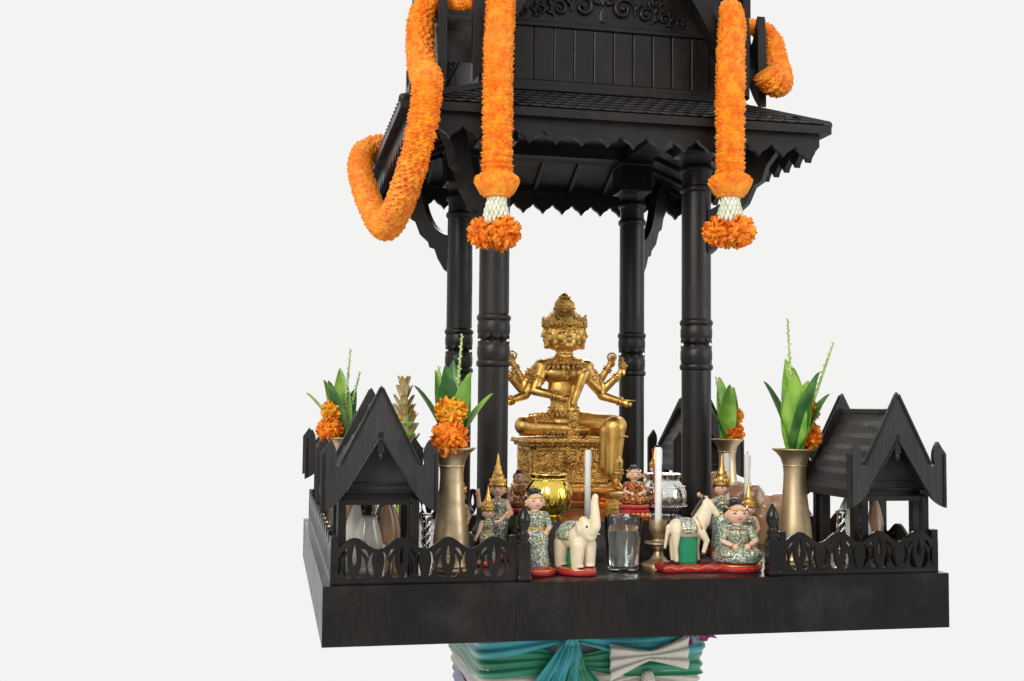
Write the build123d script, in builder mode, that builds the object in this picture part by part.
from build123d import *
from math import cos, radians, sin, sqrt
import os

os.makedirs("parts", exist_ok=True)

# Driving dimensions, in millimetres

# Ground to deck
deck_height = 1250
plinth_width = 520
plinth_step_width = 430
plinth_height = 70
plinth_step_height = 50
shaft_width = 340
shaft_chamfer = 12

# Platform
deck_width = 900
deck_depth = 932
deck_thickness = 18
apron_height = 78
apron_thickness = 18
joist_width = 40
joist_count = 5

# Fence round the deck
fence_inset = 10
fence_thickness = 7
fence_rail_height = 52
fence_scallop = 12
fence_bay = 62
gate_half_width = 181
gate_post_size = 20
gate_post_height = 103

# Columns, centred at plus and minus these distances
column_x = 172.5
column_y = 176
column_height = 722
column_foot_width = 66
column_foot_height = 34
shaft_radius = 24.5
ring_radius = 27.5
lotus_radius = 26.5
pinch_radius = 20.5
lotus_low = 302
lotus_mid = 343
lotus_high = 382
capital_low = 598
capital_mid = 633
capital_high = 661
ring_height = 8
block_width = 63

# Beam ring and skirt roof, heights above the deck
beam_width = 54
beam_top = 745
eave_x = 344
eave_y = 324
eave_top = 687
skirt_thickness = 13
valance_setback = 14
valance_thickness = 10
valance_notch = 656
valance_tip = 636
valance_pitch = 41.2

# Eave brackets, thickness only; their outline is drawn below
bracket_thickness = 16

# Upper storey and cross-gabled roof, heights above the deck
wall_thickness = 10
sill_height = 18
sill_projection = 6
roof_ridge = 1165
roof_slope = 1.66
roof_eave = 218
roof_vertical_thickness = 23
main_gable_reach = 256
cross_gable_reach = 262
bargeboard_thickness = 14
bargeboard_apex = 1240
bargeboard_inner_apex = 1105
bargeboard_foot = 738
bargeboard_half = 228
bargeboard_slope = 1.654

# The notch behind each horn, where a garland hangs
notch_centre = 188.7
notch_height = 873.6

# Corner houses on the deck, each with its own centre
house_centre_x = deck_width / 2 - 73
house_centre_y = deck_depth / 2 - 96
house_half_width = 78
house_length = 172
house_ridge = 234
house_slope = 1.57
house_eave = 73
house_roof_thickness = 12
house_board_thickness = 8
house_apex = 262
house_inner_apex = 196
house_foot = 93
house_post_size = 12
house_post_x = 48
house_post_y = 48
house_plate_height = 12
house_plate_top = 116
house_panel_recess = 28

# Offerings
altar_width = 270
altar_front = 285
altar_back = 120
altar_height = 62
pedestal_width = 160
pedestal_front = -30
pedestal_back = 100
pedestal_height = 120
statue_y = 38
front_vase = (265, -350)
back_vase = (388, 215)
vase_height = 176
vase_rim_radius = 34
vase_neck_radius = 17
vase_foot_radius = 28
garland_radius = 23
garland_tie_radius = 10
clearance = 0.3

corners = {
    "front_left": (-1, -1),
    "front_right": (1, -1),
    "back_left": (-1, 1),
    "back_right": (1, 1),
}
# A side's plane faces outward: its X runs along the side and its Y is up
side_planes = {
    "front": Plane(origin=(0, 0, deck_height), x_dir=(1, 0, 0), z_dir=(0, -1, 0)),
    "right": Plane(origin=(0, 0, deck_height), x_dir=(0, 1, 0), z_dir=(1, 0, 0)),
    "back": Plane(origin=(0, 0, deck_height), x_dir=(-1, 0, 0), z_dir=(0, 1, 0)),
    "left": Plane(origin=(0, 0, deck_height), x_dir=(0, -1, 0), z_dir=(-1, 0, 0)),
}
beam_half_x = column_x + beam_width / 2
beam_half_y = column_y + beam_width / 2
# Half span along the side, and reach out from the centre, for each side
eave_sizes = {
    "front": (eave_x, eave_y),
    "right": (eave_y, eave_x),
    "back": (eave_x, eave_y),
    "left": (eave_y, eave_x),
}
beam_sizes = {
    "front": (beam_half_x, beam_half_y),
    "right": (beam_half_y, beam_half_x),
    "back": (beam_half_x, beam_half_y),
    "left": (beam_half_y, beam_half_x),
}


def save(part, name):
    part.label = name
    export_step(part, f"parts/{name}.step")


# Plinth on the ground

with BuildPart() as base_plinth:
    with BuildSketch():
        RectangleRounded(plinth_width, plinth_width, 10)
    extrude(amount=plinth_height)
    with BuildSketch(Plane.XY.offset(plinth_height)):
        RectangleRounded(plinth_step_width, plinth_step_width, 10)
    extrude(amount=plinth_step_height)
    chamfer(base_plinth.faces().sort_by(Axis.Z)[-1].edges(), 8)
save(base_plinth.part, "base_plinth")

# Square pedestal that carries the platform

shaft_foot = plinth_height + plinth_step_height
platform_foot = deck_height - apron_height

with BuildPart() as pedestal_shaft:
    with BuildSketch(Plane.XY.offset(shaft_foot)):
        Rectangle(shaft_width, shaft_width)
    extrude(amount=platform_foot - shaft_foot)
    chamfer(pedestal_shaft.edges().filter_by(Axis.Z), shaft_chamfer)
save(pedestal_shaft.part, "pedestal_shaft")

# Platform: apron boards round cross bearers, and the deck board laid on the bearers

bearer_height = apron_height - deck_thickness
inner_width = deck_width - 2 * apron_thickness
inner_depth = deck_depth - 2 * apron_thickness
apron_middle = platform_foot + apron_height / 2
long_apron_y = (deck_depth - apron_thickness) / 2
short_apron_x = (deck_width - apron_thickness) / 2

with BuildPart() as front_back_aprons:
    with Locations((0, -long_apron_y, apron_middle), (0, long_apron_y, apron_middle)):
        Box(deck_width, apron_thickness, apron_height)
save(front_back_aprons.part, "front_back_aprons")

with BuildPart() as side_aprons:
    with Locations((-short_apron_x, 0, apron_middle), (short_apron_x, 0, apron_middle)):
        Box(apron_thickness, inner_depth, apron_height)
save(side_aprons.part, "side_aprons")

with BuildPart() as deck_bearers:
    with Locations((0, 0, platform_foot + bearer_height / 2)):
        with GridLocations(inner_width / (joist_count + 1), 0, joist_count, 1):
            Box(joist_width, inner_depth, bearer_height)
save(deck_bearers.part, "deck_bearers")

with BuildPart() as platform_deck:
    with BuildSketch(Plane.XY.offset(deck_height - deck_thickness)):
        Rectangle(inner_width, inner_depth)
    extrude(amount=deck_thickness)
save(platform_deck.part, "platform_deck")

# Fretwork fence panels with a scalloped top and pierced leaves


def fence_panel(plane, start, end):
    length = end - start
    bays = max(1, round(length / fence_bay))
    bay = length / bays
    with BuildPart() as panel:
        with BuildSketch(plane):
            with Locations(((start + end) / 2, fence_rail_height / 2)):
                Rectangle(length, fence_rail_height)
            with Locations(((start + end) / 2, fence_rail_height)):
                with GridLocations(bay, 0, bays, 1):
                    Ellipse(bay * 0.42, fence_scallop)
            with Locations(((start + end) / 2, fence_rail_height * 0.5)):
                with GridLocations(bay, 0, bays, 1):
                    for turn in (-1, 1):
                        with Locations(Location((turn * bay * 0.24, 0, 0), (0, 0, turn * 38))):
                            SlotOverall(bay * 0.34, 7, mode=Mode.SUBTRACT)
        extrude(amount=-fence_thickness)
    return panel.part


fence_x = deck_width / 2 - fence_inset
fence_y = deck_depth / 2 - fence_inset
gate_side = gate_half_width + gate_post_size / 2
front_fence_plane = side_planes["front"].offset(fence_y)
save(fence_panel(front_fence_plane, -fence_x, -gate_side), "fence_front_left")
save(fence_panel(front_fence_plane, gate_side, fence_x), "fence_front_right")
side_fence_end = fence_y - fence_thickness
save(fence_panel(side_planes["left"].offset(fence_x), -side_fence_end, side_fence_end), "fence_left")
save(fence_panel(side_planes["right"].offset(fence_x), -side_fence_end, side_fence_end), "fence_right")
save(fence_panel(side_planes["back"].offset(fence_y), -fence_x, fence_x), "fence_back")

# Gate posts with a lotus bud on top

gate_post_y = -(fence_y - fence_thickness / 2)
bud_foot = gate_post_height * 0.62
with BuildPart() as gate_posts:
    for post_x in (-gate_half_width, gate_half_width):
        with BuildSketch(Plane.XY.offset(deck_height)):
            with Locations((post_x, gate_post_y)):
                Rectangle(gate_post_size, gate_post_size)
        extrude(amount=bud_foot)
        bud_plane = Plane(origin=(post_x, gate_post_y, deck_height + bud_foot), x_dir=(1, 0, 0), z_dir=(0, -1, 0))
        with BuildSketch(bud_plane):
            with BuildLine():
                Line((0, 0), (gate_post_size * 0.42, 0))
                Line((gate_post_size * 0.42, 0), (gate_post_size * 0.25, 5))
                Spline(
                    (gate_post_size * 0.25, 5),
                    (gate_post_size * 0.48, 15),
                    (gate_post_size * 0.2, 29),
                    (0, gate_post_height - bud_foot),
                )
                Line((0, gate_post_height - bud_foot), (0, 0))
            make_face()
        revolve(axis=Axis((post_x, gate_post_y, 0), (0, 0, 1)))
save(gate_posts.part, "gate_posts")

# Turned columns: a square foot, a band of two lotus bulges, a ringed capital and a square block

for corner, (sx, sy) in corners.items():
    foot = Vector(sx * column_x, sy * column_y, deck_height)
    with BuildPart() as column:
        with BuildSketch(Plane(origin=foot)):
            Rectangle(column_foot_width, column_foot_width)
        extrude(amount=column_foot_height)
        with BuildSketch(Plane(origin=foot, x_dir=(1, 0, 0), z_dir=(0, -1, 0))):
            with BuildLine():
                Line((0, column_foot_height), (ring_radius + 3, column_foot_height))
                Line((ring_radius + 3, column_foot_height), (ring_radius + 3, column_foot_height + ring_height))
                Line((ring_radius + 3, column_foot_height + ring_height), (shaft_radius, column_foot_height + 16))
                Line((shaft_radius, column_foot_height + 16), (shaft_radius, lotus_low))
                Line((shaft_radius, lotus_low), (ring_radius, lotus_low))
                Line((ring_radius, lotus_low), (ring_radius, lotus_low + ring_height))
                ThreePointArc(
                    (ring_radius, lotus_low + ring_height),
                    (lotus_radius, (lotus_low + ring_height + lotus_mid) / 2),
                    (pinch_radius, lotus_mid),
                )
                ThreePointArc(
                    (pinch_radius, lotus_mid),
                    (lotus_radius, (lotus_high - ring_height + lotus_mid) / 2),
                    (ring_radius, lotus_high - ring_height),
                )
                Line((ring_radius, lotus_high - ring_height), (ring_radius, lotus_high))
                Line((ring_radius, lotus_high), (shaft_radius, lotus_high))
                Line((shaft_radius, lotus_high), (shaft_radius, capital_low))
                Line((shaft_radius, capital_low), (ring_radius, capital_low))
                Line((ring_radius, capital_low), (ring_radius, capital_low + ring_height))
                ThreePointArc(
                    (ring_radius, capital_low + ring_height),
                    (shaft_radius, (capital_low + ring_height + capital_mid) / 2),
                    (ring_radius, capital_mid),
                )
                Line((ring_radius, capital_mid), (ring_radius, capital_mid + ring_height))
                ThreePointArc(
                    (ring_radius, capital_mid + ring_height),
                    (shaft_radius, (capital_mid + ring_height + capital_high) / 2),
                    (ring_radius + 2, capital_high),
                )
                Line((ring_radius + 2, capital_high), (0, capital_high))
                Line((0, capital_high), (0, column_foot_height))
            make_face()
        revolve(axis=Axis(foot, (0, 0, 1)))
        with BuildSketch(Plane(origin=foot).offset(capital_high)):
            Rectangle(block_width, block_width)
        extrude(amount=column_height - capital_high)
    save(column.part, f"column_{corner}")

# Ring of beams on the column heads

with BuildPart() as beam_ring:
    with BuildSketch(Plane.XY.offset(deck_height + column_height)):
        Rectangle(2 * beam_half_x, 2 * beam_half_y)
        Rectangle(2 * (beam_half_x - beam_width), 2 * (beam_half_y - beam_width), mode=Mode.SUBTRACT)
    extrude(amount=beam_top - column_height)
save(beam_ring.part, "beam_ring")

with BuildPart() as ceiling_board:
    with BuildSketch(Plane.XY.offset(deck_height + beam_top)):
        Rectangle(2 * (beam_half_x - wall_thickness) - 1, 2 * (beam_half_y - wall_thickness) - 1)
    extrude(amount=wall_thickness)
save(ceiling_board.part, "ceiling_board")

# Skirt roof: four slopes that meet at the hips, each a loft from the eave to the beam ring

for side, plane in side_planes.items():
    span, reach = eave_sizes[side]
    beam_span, beam_reach = beam_sizes[side]
    with BuildPart() as slope:
        with BuildSketch(plane.offset(reach)):
            with Locations((0, eave_top - skirt_thickness / 2)):
                Rectangle(2 * span, skirt_thickness)
        with BuildSketch(plane.offset(beam_reach)):
            with Locations((0, beam_top - skirt_thickness / 2)):
                Rectangle(2 * beam_span, skirt_thickness)
        loft(ruled=True)
    save(slope.part, f"skirt_roof_{side}")

# Toothed valance under each eave


skirt_slope = min((beam_top - eave_top) / (reach - beam_sizes[side][1]) for side, (span, reach) in eave_sizes.items())
valance_top = eave_top - skirt_thickness + valance_setback * skirt_slope


for side, plane in side_planes.items():
    span, reach = eave_sizes[side]
    out = reach - valance_setback
    half = span - valance_setback
    if side in ("left", "right"):
        half = half - valance_thickness
    teeth = round(2 * half / valance_pitch)
    pitch = 2 * half / teeth
    with BuildPart() as valance:
        with BuildSketch(plane.offset(out)):
            with Locations((0, (valance_notch + valance_top) / 2)):
                Rectangle(2 * half, valance_top - valance_notch)
            with Locations((0, valance_notch)):
                with GridLocations(pitch, 0, teeth, 1):
                    Polygon(
                        (-pitch / 2, 0),
                        (-pitch * 0.36, (valance_tip - valance_notch) * 0.35),
                        (-pitch * 0.14, (valance_tip - valance_notch) * 0.62),
                        (0, valance_tip - valance_notch),
                        (pitch * 0.14, (valance_tip - valance_notch) * 0.62),
                        (pitch * 0.36, (valance_tip - valance_notch) * 0.35),
                        (pitch / 2, 0),
                        align=None,
                    )
        extrude(amount=-valance_thickness)
    save(valance.part, f"valance_{side}")

# Carved eave brackets, one blade out from each column on the diagonal

front_slope = (beam_top - eave_top) / (eave_y - beam_half_y)


def bracket_ceiling(run):
    edge = (run + bracket_thickness / 2) / sqrt(2)
    return eave_top - skirt_thickness + (eave_y - column_y - edge) * front_slope


bracket_head_out = 158
bracket_head_in = 118
bracket_foot = shaft_radius
with BuildPart() as eave_brackets:
    for corner, (sx, sy) in corners.items():
        foot = Vector(sx * column_x, sy * column_y, deck_height)
        outward = Vector(sx, sy, 0).normalized()
        across = outward.cross(Vector(0, 0, 1))
        with BuildSketch(Plane(origin=foot, x_dir=outward, z_dir=across)):
            with BuildLine():
                Polyline(
                    (bracket_foot, 494),
                    (33, 500),
                    (48, 522),
                    (56, 541),
                    (68, 545),
                    (72, 556),
                    (92, 572),
                    (104, 598),
                    (118, 606),
                    (126, 630),
                    (146, 655),
                    (bracket_head_out, bracket_ceiling(bracket_head_out) - 14),
                    (bracket_head_out, bracket_ceiling(bracket_head_out)),
                    (bracket_head_in, bracket_ceiling(bracket_head_in)),
                )
                Spline(
                    (bracket_head_in, bracket_ceiling(bracket_head_in)),
                    (90, 655),
                    (76, 612),
                    (52, 580),
                    (bracket_foot, 566),
                )
                Line((bracket_foot, 566), (bracket_foot, 494))
            make_face()
        extrude(amount=bracket_thickness / 2, both=True)
save(eave_brackets.part, "eave_brackets")

# Gable walls of the upper storey

roof_under = roof_ridge - roof_vertical_thickness


def gable_wall(plane, half, reach):
    shoulder = roof_under - roof_slope * half
    with BuildPart() as wall:
        with BuildSketch(plane.offset(reach)):
            with BuildLine():
                Polyline((-half, beam_top), (half, beam_top), (half, shoulder), (0, roof_under), (-half, shoulder), close=True)
            make_face()
        extrude(amount=-wall_thickness)
        with BuildSketch(plane.offset(reach)):
            with Locations((0, beam_top + sill_height / 2)):
                Rectangle(2 * half, sill_height)
        extrude(amount=sill_projection)
    return wall.part


for side, plane in side_planes.items():
    beam_span, beam_reach = beam_sizes[side]
    half = beam_span
    if side in ("left", "right"):
        half = half - wall_thickness
    save(gable_wall(plane, half, beam_reach), f"gable_wall_{side}")

# Cross-gabled roof: two ridged roofs that meet in valleys, parted along the valleys into two pieces


def ridged_profile(inner):
    """Half spans and heights of the roof's outside, or of the room under it."""
    top = roof_under if inner else roof_ridge
    foot = roof_under - roof_slope * roof_eave
    wall_top = top - roof_slope * roof_eave
    if inner:
        return [(-roof_eave, foot), (roof_eave, foot), (0, top)]
    return [(-roof_eave, foot), (roof_eave, foot), (roof_eave, wall_top), (0, top), (-roof_eave, wall_top)]


valley_lap = 5
far = cross_gable_reach + 10
for roof_name, keep in (("main_roof", Mode.INTERSECT), ("side_roof_arms", Mode.SUBTRACT)):
    lap = valley_lap if keep == Mode.INTERSECT else valley_lap + clearance
    with BuildPart() as roof:
        for inner, mode in ((False, Mode.ADD), (True, Mode.SUBTRACT)):
            for side, reach in (("front", main_gable_reach), ("right", cross_gable_reach)):
                with BuildSketch(side_planes[side].offset(-reach)):
                    Polygon(*ridged_profile(inner), align=None)
                extrude(amount=2 * reach, mode=mode)
        with BuildSketch(Plane.XY.offset(deck_height)):
            Polygon(
                (-lap, 0), (-far - lap, -far), (far + lap, -far),
                (lap, 0), (far + lap, far), (-far - lap, far), align=None,
            )
        extrude(amount=roof_ridge + 10, mode=keep)
    save(roof.part, roof_name)

# Bargeboards: a steep pointed board with horned feet

notch_radius = garland_radius + clearance
notch_inner = notch_centre - notch_radius
notch_outer = notch_centre + notch_radius
slope_end = bargeboard_apex - bargeboard_slope * notch_inner
horn_tip = (bargeboard_half - 4, 893)


def bargeboard(plane, reach, board_thickness):
    with BuildPart() as board:
        with BuildSketch(plane.offset(reach)):
            with BuildLine():
                Line((0, bargeboard_inner_apex), (0, bargeboard_apex))
                Line((0, bargeboard_apex), (notch_inner, slope_end))
                Line((notch_inner, slope_end), (notch_inner, notch_height))
                ThreePointArc(
                    (notch_inner, notch_height),
                    (notch_centre, notch_height - notch_radius),
                    (notch_outer, notch_height),
                )
                Line((notch_outer, notch_height), horn_tip)
                Line(horn_tip, (bargeboard_half, 862))
                Line((bargeboard_half, 862), (bargeboard_half, bargeboard_foot))
                Spline((bargeboard_half, bargeboard_foot), (205, 762), (178, 806))
                Line((178, 806), (150, 860))
                Line((150, 860), (0, bargeboard_inner_apex))
            make_face()
            mirror(about=Plane.YZ)
        extrude(amount=board_thickness)
    return board.part


for side, plane in side_planes.items():
    reach = main_gable_reach if side in ("front", "back") else cross_gable_reach
    save(bargeboard(plane, reach, bargeboard_thickness), f"bargeboard_{side}")

# Small houses at the corners of the deck

house_under = house_ridge - house_roof_thickness
plate_half_x = house_post_x + house_post_size / 2
for corner, (sx, sy) in corners.items():
    hx = sx * house_centre_x
    hy = sy * house_centre_y
    with BuildPart() as house_frame:
        with BuildSketch(Plane.XY.offset(deck_height)):
            with Locations((hx, hy)):
                with GridLocations(2 * house_post_x, 2 * house_post_y, 2, 2):
                    Rectangle(house_post_size, house_post_size)
        extrude(amount=house_plate_top)
        with BuildSketch(Plane.XY.offset(deck_height + house_plate_top - house_plate_height)):
            with Locations((hx, hy)):
                Rectangle(2 * plate_half_x, 2 * house_post_y + house_post_size)
                Rectangle(
                    2 * plate_half_x - 2 * house_post_size,
                    2 * house_post_y - house_post_size,
                    mode=Mode.SUBTRACT,
                )
        extrude(amount=house_plate_height)
    save(house_frame.part, f"corner_house_frame_{corner}")

    centre = Plane(origin=(hx, hy, deck_height), x_dir=(1, 0, 0), z_dir=(0, -1, 0))
    roof_half = house_length / 2 - house_board_thickness
    with BuildPart() as house_roof:
        with BuildSketch(centre.offset(-roof_half)):
            with BuildLine():
                Polyline(
                    (-house_eave, house_under - house_slope * house_eave),
                    (-house_eave, house_ridge - house_slope * house_eave),
                    (0, house_ridge),
                    (house_eave, house_ridge - house_slope * house_eave),
                    (house_eave, house_under - house_slope * house_eave),
                    (0, house_under),
                    close=True,
                )
            make_face()
        extrude(amount=2 * roof_half)
        for out in (roof_half - house_panel_recess, -roof_half + house_panel_recess - 6):
            with BuildSketch(centre.offset(out)):
                with BuildLine():
                    half_foot = (house_under - house_plate_top) / house_slope
                    Polyline(
                        (-half_foot, house_plate_top),
                        (half_foot, house_plate_top),
                        (0, house_under),
                        close=True,
                    )
                make_face()
            extrude(amount=6)
        for out in (roof_half, -roof_half - house_board_thickness):
            with BuildSketch(centre.offset(out)):
                with BuildLine():
                    Line((0, house_inner_apex), (0, house_apex))
                    Line((0, house_apex), (52, 160))
                    Spline((52, 160), (54.5, 154), (59, 158))
                    Spline((59, 158), (58.5, 176), (65.5, 190))
                    Spline((65.5, 190), (72, 180), (house_half_width, 172))
                    Line((house_half_width, 172), (house_half_width, house_foot))
                    Spline((house_half_width, house_foot), (60, 103), (46, 120))
                    Line((46, 120), (0, house_inner_apex))
                make_face()
                mirror(about=Plane.YZ)
            extrude(amount=house_board_thickness)
    save(house_roof.part, f"corner_house_roof_{corner}")

# Stepped altar, the statue's pedestal and the seated four-faced statue

altar_depth = altar_front + altar_back
altar_y = (altar_back - altar_front) / 2

with BuildPart() as altar_base:
    with BuildSketch(Plane.XY.offset(deck_height)):
        with Locations((0, altar_y)):
            Rectangle(altar_width, altar_depth)
    extrude(amount=altar_height)
save(altar_base.part, "altar_base")

pedestal_foot = deck_height + altar_height
pedestal_y = (pedestal_front + pedestal_back) / 2
pedestal_depth = pedestal_back - pedestal_front
with BuildPart() as statue_pedestal:
    for low, high, grow in ((0, 28, 12), (28, 40, 4), (40, 106, -4), (106, 120, 4)):
        with BuildSketch(Plane.XY.offset(pedestal_foot + low)):
            with Locations((0, pedestal_y)):
                Rectangle(pedestal_width + 2 * grow, pedestal_depth + 2 * grow)
        extrude(amount=high - low)
    with Locations((72, statue_y - 96, pedestal_foot)):
        Cylinder(24, 28, align=(Align.CENTER, Align.CENTER, Align.MIN))
save(statue_pedestal.part, "statue_pedestal")

seat = pedestal_foot + pedestal_height


def limb(start, end, start_radius, end_radius):
    start = Vector(*start) + Vector(0, statue_y, seat)
    end = Vector(*end) + Vector(0, statue_y, seat)
    with Locations(Plane(origin=start, z_dir=end - start)):
        Cone(start_radius, end_radius, (end - start).length, align=(Align.CENTER, Align.CENTER, Align.MIN))
    with Locations(end):
        Sphere(end_radius * 1.06)


# Each half of the statue's arms: shoulder, elbow and hand, with their radii
arm_rows = [
    ((40, -4, 128), (58, -14, 82), (16, -46, 70), (13, 10, 8)),
    ((42, 4, 126), (72, 0, 74), (112, -18, 64), (12, 9, 8)),
    ((42, 10, 130), (76, 12, 92), (110, 2, 128), (12, 9, 8)),
    ((40, 16, 134), (68, 24, 104), (92, 22, 150), (11, 8, 7)),
]
with BuildPart() as deity_statue:
    with BuildSketch(Plane(origin=(0, statue_y - 6, seat))):
        Ellipse(78, 56)
    extrude(amount=10)
    for low, high, lower_size, upper_size in (
        (6, 60, (42, 34), (25, 20)),
        (59, 132, (25.2, 20.2), (44, 25)),
        (131, 158, (44, 25), (14, 13)),
    ):
        with BuildSketch(Plane(origin=(0, statue_y, seat + low))):
            Ellipse(*lower_size)
        with BuildSketch(Plane(origin=(0, statue_y, seat + high))):
            Ellipse(*upper_size)
        loft()
    with BuildSketch(Plane(origin=(0, statue_y, seat), x_dir=(1, 0, 0), z_dir=(0, -1, 0))):
        with BuildLine():
            Line((0, 150), (15, 150))
            Line((15, 150), (15, 157))
            Spline((15, 157), (30, 166), (36, 188), (38, 205))
            Line((38, 205), (43, 214))
            Line((43, 214), (33, 220))
            Spline((33, 220), (22, 232), (17, 238))
            Spline((17, 238), (15, 250), (6, 258))
            Line((6, 258), (0, 264))
            Line((0, 264), (0, 150))
        make_face()
    revolve(axis=Axis((0, statue_y, 0), (0, 0, 1)))
    limb((-22, 6, 26), (-78, -24, 21), 24, 17)
    limb((-78, -24, 19), (8, -52, 17), 15, 10)
    limb((22, 6, 26), (78, -78, 23), 24, 17)
    limb((78, -88, 23), (72, -92, -70), 15, 9)
    limb((72, -92, -73), (68, -112, -80), 8.5, 6)
    for sign in (-1, 1):
        for shoulder, elbow, hand, (upper, joint, wrist) in arm_rows:
            shoulder, elbow, hand = ((sign * x, y, z) for x, y, z in (shoulder, elbow, hand))
            limb(shoulder, elbow, upper, joint)
            limb(elbow, hand, joint, wrist)
save(deity_statue.part, "deity_statue")

# Brass vases with a spreading foot and a flared lip, and the bunches that stand in them

vase_places = [(sx * x, y) for x, y in (front_vase, back_vase) for sx in (-1, 1)]
stem_radius = vase_neck_radius - 4
stem_depth = 50
with BuildPart() as brass_vases:
    for px, py in vase_places:
        with BuildSketch(Plane(origin=(px, py, deck_height), x_dir=(1, 0, 0), z_dir=(0, -1, 0))):
            with BuildLine():
                Line((0, 0), (vase_foot_radius, 0))
                Spline(
                    (vase_foot_radius, 0),
                    (vase_foot_radius - 2, 24),
                    (vase_neck_radius + 2, vase_height * 0.55),
                    (vase_neck_radius, vase_height * 0.82),
                    (vase_rim_radius, vase_height),
                )
                Line((vase_rim_radius, vase_height), (vase_rim_radius - 3, vase_height))
                Polyline(
                    (vase_rim_radius - 3, vase_height),
                    (vase_neck_radius - 1, vase_height * 0.9),
                    (stem_radius + clearance, vase_height * 0.85),
                    (stem_radius + clearance, vase_height - stem_depth),
                )
                Line((stem_radius + clearance, vase_height - stem_depth), (0, vase_height - stem_depth))
                Line((0, vase_height - stem_depth), (0, 0))
            make_face()
        revolve(axis=Axis((px, py, 0), (0, 0, 1)))
save(brass_vases.part, "brass_vases")

marigold_radius = 27
with BuildPart() as flower_bunches:
    for px, py in vase_places:
        mouth = deck_height + vase_height
        with Locations((px, py, mouth - stem_depth)):
            Cylinder(stem_radius, stem_depth + 20, align=(Align.CENTER, Align.CENTER, Align.MIN))
        for lean, size in ((0, 1.0), (0.35, 0.82)):
            with Locations((px, py - marigold_radius * lean, mouth + marigold_radius * (0.95 + 4 * lean))):
                Sphere(marigold_radius * size)
        for turn in (20, 160, 200, 340, 90):
            outward = Vector(cos(radians(turn)), sin(radians(turn)), 0)
            across = outward.cross(Vector(0, 0, 1))
            with BuildSketch(Plane(origin=Vector(px, py, mouth + 4) + outward * 6, x_dir=outward, z_dir=across)):
                with BuildLine():
                    Spline((0, 0), (16, 50), (40, 112))
                    Spline((40, 112), (10, 62), (-6, 0))
                    Line((-6, 0), (0, 0))
                make_face()
            extrude(amount=9, both=True)
        with Locations((px, py + 8, mouth)):
            Cone(6, 2, 190, align=(Align.CENTER, Align.CENTER, Align.MIN))
    offering_x, offering_y = -262, 300
    with BuildSketch(Plane(origin=(offering_x, offering_y, deck_height), x_dir=(1, 0, 0), z_dir=(0, -1, 0))):
        with BuildLine():
            Polyline((0, 0), (34, 0), (30, 20), (12, 40), (12, 120), (30, 140), (26, 215), (14, 222), (0, 300), close=True)
        make_face()
    revolve(axis=Axis((offering_x, offering_y, 0), (0, 0, 1)))
save(flower_bunches.part, "flower_bunches")

# Two offering jars on the altar step

jar_y = -240
for jar_name, jar_x in (("gold_jar", -95), ("silver_jar", 92)):
    jar_foot = pedestal_foot
    with BuildPart() as jar:
        with BuildSketch(Plane(origin=(jar_x, jar_y, jar_foot), x_dir=(1, 0, 0), z_dir=(0, -1, 0))):
            with BuildLine():
                Line((0, 0), (20, 0))
                Spline((20, 0), (36, 18), (38, 36), (27, 62))
                Line((27, 62), (30, 70))
                Line((30, 70), (26, 70))
                Line((26, 70), (24, 62))
                Line((24, 62), (0, 62))
                Line((0, 62), (0, 0))
            make_face()
        revolve(axis=Axis((jar_x, jar_y, 0), (0, 0, 1)))
    save(jar.part, jar_name)

# Water tumbler

glass_place = (-15, -372)
with BuildPart() as water_glass:
    with BuildSketch(Plane(origin=(*glass_place, deck_height), x_dir=(1, 0, 0), z_dir=(0, -1, 0))):
        with BuildLine():
            Polyline((0, 0), (22, 0), (28, 79), (25.5, 79), (20, 10), (0, 10), close=True)
        make_face()
    revolve(axis=Axis((*glass_place, 0), (0, 0, 1)))
save(water_glass.part, "water_glass")

# Candles: one in a footed holder on the deck, three stuck on the altar

with BuildPart() as candles:
    with BuildSketch(Plane(origin=(51, -336, deck_height), x_dir=(1, 0, 0), z_dir=(0, -1, 0))):
        with BuildLine():
            Polyline(
                (0, 0), (26, 0), (24, 5), (8, 16), (8, 30), (21, 33), (21, 36), (7, 40),
                (14, 48), (14, 68), (6, 68), (6, 176), (0, 182), close=True,
            )
        make_face()
    revolve(axis=Axis((51, -336, 0), (0, 0, 1)))
    for px, py, foot_height, tall in ((-14, -176, altar_height, 110), (236, -150, 0, 168), (274, -150, 0, 166)):
        with Locations((px, py, deck_height + foot_height)):
            Cylinder(5, tall, align=(Align.CENTER, Align.CENTER, Align.MIN))
save(candles.part, "candles")

# Elephant and horse figures on their bases


def figure_limb(origin, start, end, start_radius, end_radius):
    start = Vector(*start) + origin
    end = Vector(*end) + origin
    with Locations(Plane(origin=start, z_dir=end - start)):
        Cone(start_radius, end_radius, (end - start).length, align=(Align.CENTER, Align.CENTER, Align.MIN))
    with Locations(end):
        Sphere(end_radius)


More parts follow.
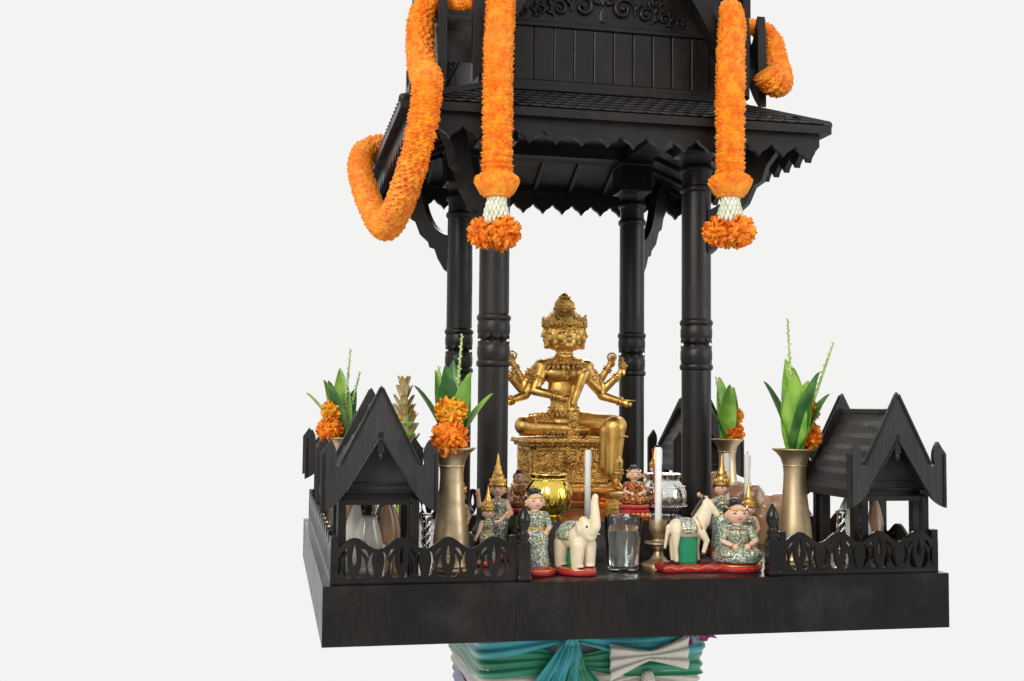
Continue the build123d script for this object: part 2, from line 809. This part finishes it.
elephant_place = Vector(-94, -400, deck_height)
wooden_elephants = [(Vector(345, 60, deck_height), 1.0), (Vector(360, -70, deck_height), 0.9)]
with BuildPart() as elephant_figures:
    for place, size in wooden_elephants:
        for lx in (-28, 28):
            for ly in (-18, 18):
                figure_limb(place, (lx * size, ly * size, 0), (lx * size, ly * size, 62 * size), 13 * size, 14 * size)
        figure_limb(place, (-26 * size, 0, 84 * size), (22 * size, 0, 88 * size), 38 * size, 36 * size)
        figure_limb(place, (26 * size, 0, 92 * size), (44 * size, 0, 104 * size), 27 * size, 24 * size)
        figure_limb(place, (58 * size, 0, 92 * size), (68 * size, 0, 40 * size), 11 * size, 6 * size)
    with BuildSketch(Plane(origin=elephant_place)):
        RectangleRounded(62, 46, 12)
    extrude(amount=12)
    for lx in (-16, 16):
        for ly in (-12, 12):
            figure_limb(elephant_place, (lx, ly, 11), (lx, ly, 44), 8.5, 9)
    figure_limb(elephant_place, (-12, 0, 54), (14, -2, 58), 21, 20)
    figure_limb(elephant_place, (14, -2, 62), (20, -10, 76), 17, 15)
    figure_limb(elephant_place, (22, -14, 74), (34, -20, 92), 8, 5)
    figure_limb(elephant_place, (34, -20, 92), (30, -18, 104), 5, 3.5)
save(elephant_figures.part, "elephant_figures")

horse_place = Vector(78, -392, deck_height)
with BuildPart() as horse_figure:
    with BuildSketch(Plane(origin=horse_place)):
        RectangleRounded(92, 46, 12)
    extrude(amount=12)
    for lx in (-22, 22):
        for ly in (-9, 9):
            figure_limb(horse_place, (lx, ly, 11), (lx * 0.9, ly, 52), 5, 7)
    figure_limb(horse_place, (-22, 0, 60), (18, 0, 62), 15, 14)
    figure_limb(horse_place, (20, 0, 64), (33, 0, 96), 13, 8)
    figure_limb(horse_place, (33, 0, 100), (42, -4, 86), 8, 5)
save(horse_figure.part, "horse_figure")

# Dancers and attendants, each a robed figure with a pointed crown

# Where each figure stands, the height of its foot above the deck and its own height
figure_places = [
    (-174, -232, 0, 168),
    (-202, -300, 0, 121),
    (-116, -120, altar_height, 71),
    (-232, -215, 0, 150),
    (-153, -400, 0, 118),
    (36, -264, altar_height, 81),
    (116, -130, altar_height, 112),
    (195, -232, 0, 167),
    (148, -398, 0, 108),
    (192, -345, 0, 130),
]
with BuildPart() as dancer_figures:
    for px, py, foot_height, tall in figure_places:
        figure_foot = deck_height + foot_height
        with BuildSketch(Plane(origin=(px, py, figure_foot), x_dir=(1, 0, 0), z_dir=(0, -1, 0))):
            with BuildLine():
                Line((0, 0), (20, 0))
                Line((20, 0), (20, 9))
                Line((20, 9), (15, 10))
                Spline((15, 10), (12, tall * 0.38), (13, tall * 0.55), (6, tall * 0.64))
                Spline((6, tall * 0.64), (9.5, tall * 0.72), (8, tall * 0.8))
                Line((8, tall * 0.8), (0, tall))
                Line((0, tall), (0, 0))
            make_face()
        revolve(axis=Axis((px, py, 0), (0, 0, 1)))
save(dancer_figures.part, "dancer_figures")

# Marigold garlands: round strings that hang down the front, pass through two notches and end beside the house


def garland_string(points, radius):
    with BuildPart() as string:
        with BuildLine() as path:
            Spline(*[Vector(x, y, z + deck_height) for x, y, z in points])
        with BuildSketch(Plane(origin=path.line @ 0, z_dir=path.line % 0)):
            Circle(radius)
        sweep()
    return string.part.solids()


def tassel(place_x, top):
    with BuildPart() as head:
        with BuildSketch(Plane(origin=(place_x, -eave_pass, deck_height), x_dir=(1, 0, 0), z_dir=(0, -1, 0))):
            with BuildLine():
                Polyline(
                    (0, top), (20, top), (33, top - 8), (33, top - 22), (16, top - 30), (22, top - 62),
                    (42, top - 70), (46, top - 84), (34, top - 104), (0, top - 110), close=True,
                )
            make_face()
        revolve(axis=Axis((place_x, -eave_pass, 0), (0, 0, 1)))
    return head.part.solids()


front_pass = main_gable_reach + bargeboard_thickness + garland_radius + clearance
side_pass = cross_gable_reach + bargeboard_thickness + garland_radius + clearance
eave_pass = eave_y + garland_radius + 2 * clearance
strand_top = notch_height - 5
tie_height = strand_top + clearance + garland_tie_radius
left_outside = [
    (-side_pass, -notch_centre, strand_top),
    (-side_pass - 1, -200, 800),
    (-303, -262, 740),
    (-305, -316, 723),
    (-307, -344, 711),
    (-309, -eave_pass - 2, 684),
    (-312, -eave_pass - 1, 655),
    (-321, -345, 605),
    (-331, -305, 562),
    (-338, -235, 533),
    (-345, -140, 522),
    (-352, -62, 550),
    (-363, 40, 606),
    (-370, 100, 655),
    (-370, 125, 686),
    (-361, 145, 711),
    (-336, 165, 724),
]
right_outside = [
    (side_pass, -notch_centre, strand_top),
    (303, -205, 818),
    (301, -232, 782),
    (282, -262, 766),
    (258, -268, 778),
]
for garland_name, sign, top_x, foot_x, tassel_top, outside in (
    ("garland_left", -1, -notch_centre, -203, 575, left_outside),
    ("garland_right", 1, notch_centre, 162, 592, right_outside),
):
    swing = top_x - foot_x
    swing = top_x - foot_x
    hang = [
        (foot_x, -eave_pass, tassel_top + clearance),
        (foot_x, -eave_pass, eave_top - 30),
        (foot_x, -eave_pass, eave_top + 35),
        (foot_x + 0.25 * swing, -front_pass - 41, 760),
        (foot_x + 0.6 * swing, -front_pass - 18, 800),
        (foot_x + 0.9 * swing, -front_pass - 5, 835),
        (top_x, -front_pass, strand_top),
    ]
    tie = [
        (top_x, -front_pass - 16, tie_height),
        (sign * 190, -main_gable_reach - bargeboard_thickness, tie_height),
        (sign * 199, -247, tie_height),
        (sign * 228, -226, tie_height),
        (sign * 250, -199, tie_height),
        (sign * (cross_gable_reach + bargeboard_thickness), -190, tie_height),
        (sign * (side_pass + 16), -notch_centre, tie_height),
    ]
    strands = garland_string(hang, garland_radius)
    strands += garland_string(tie, garland_tie_radius)
    strands += garland_string(outside, garland_radius)
    strands += tassel(foot_x, tassel_top)
    save(Compound(children=strands), garland_name)

# Cloths tied round the head of the pedestal

wrap_width = 388
wrap_height = 230
with BuildPart() as cloth_wrap:
    with BuildSketch(Plane.XY.offset(platform_foot - clearance - wrap_height)):
        RectangleRounded(wrap_width, wrap_width, 30)
        Rectangle(shaft_width + 2 * clearance, shaft_width + 2 * clearance, mode=Mode.SUBTRACT)
    extrude(amount=wrap_height)
save(cloth_wrap.part, "cloth_wrap")
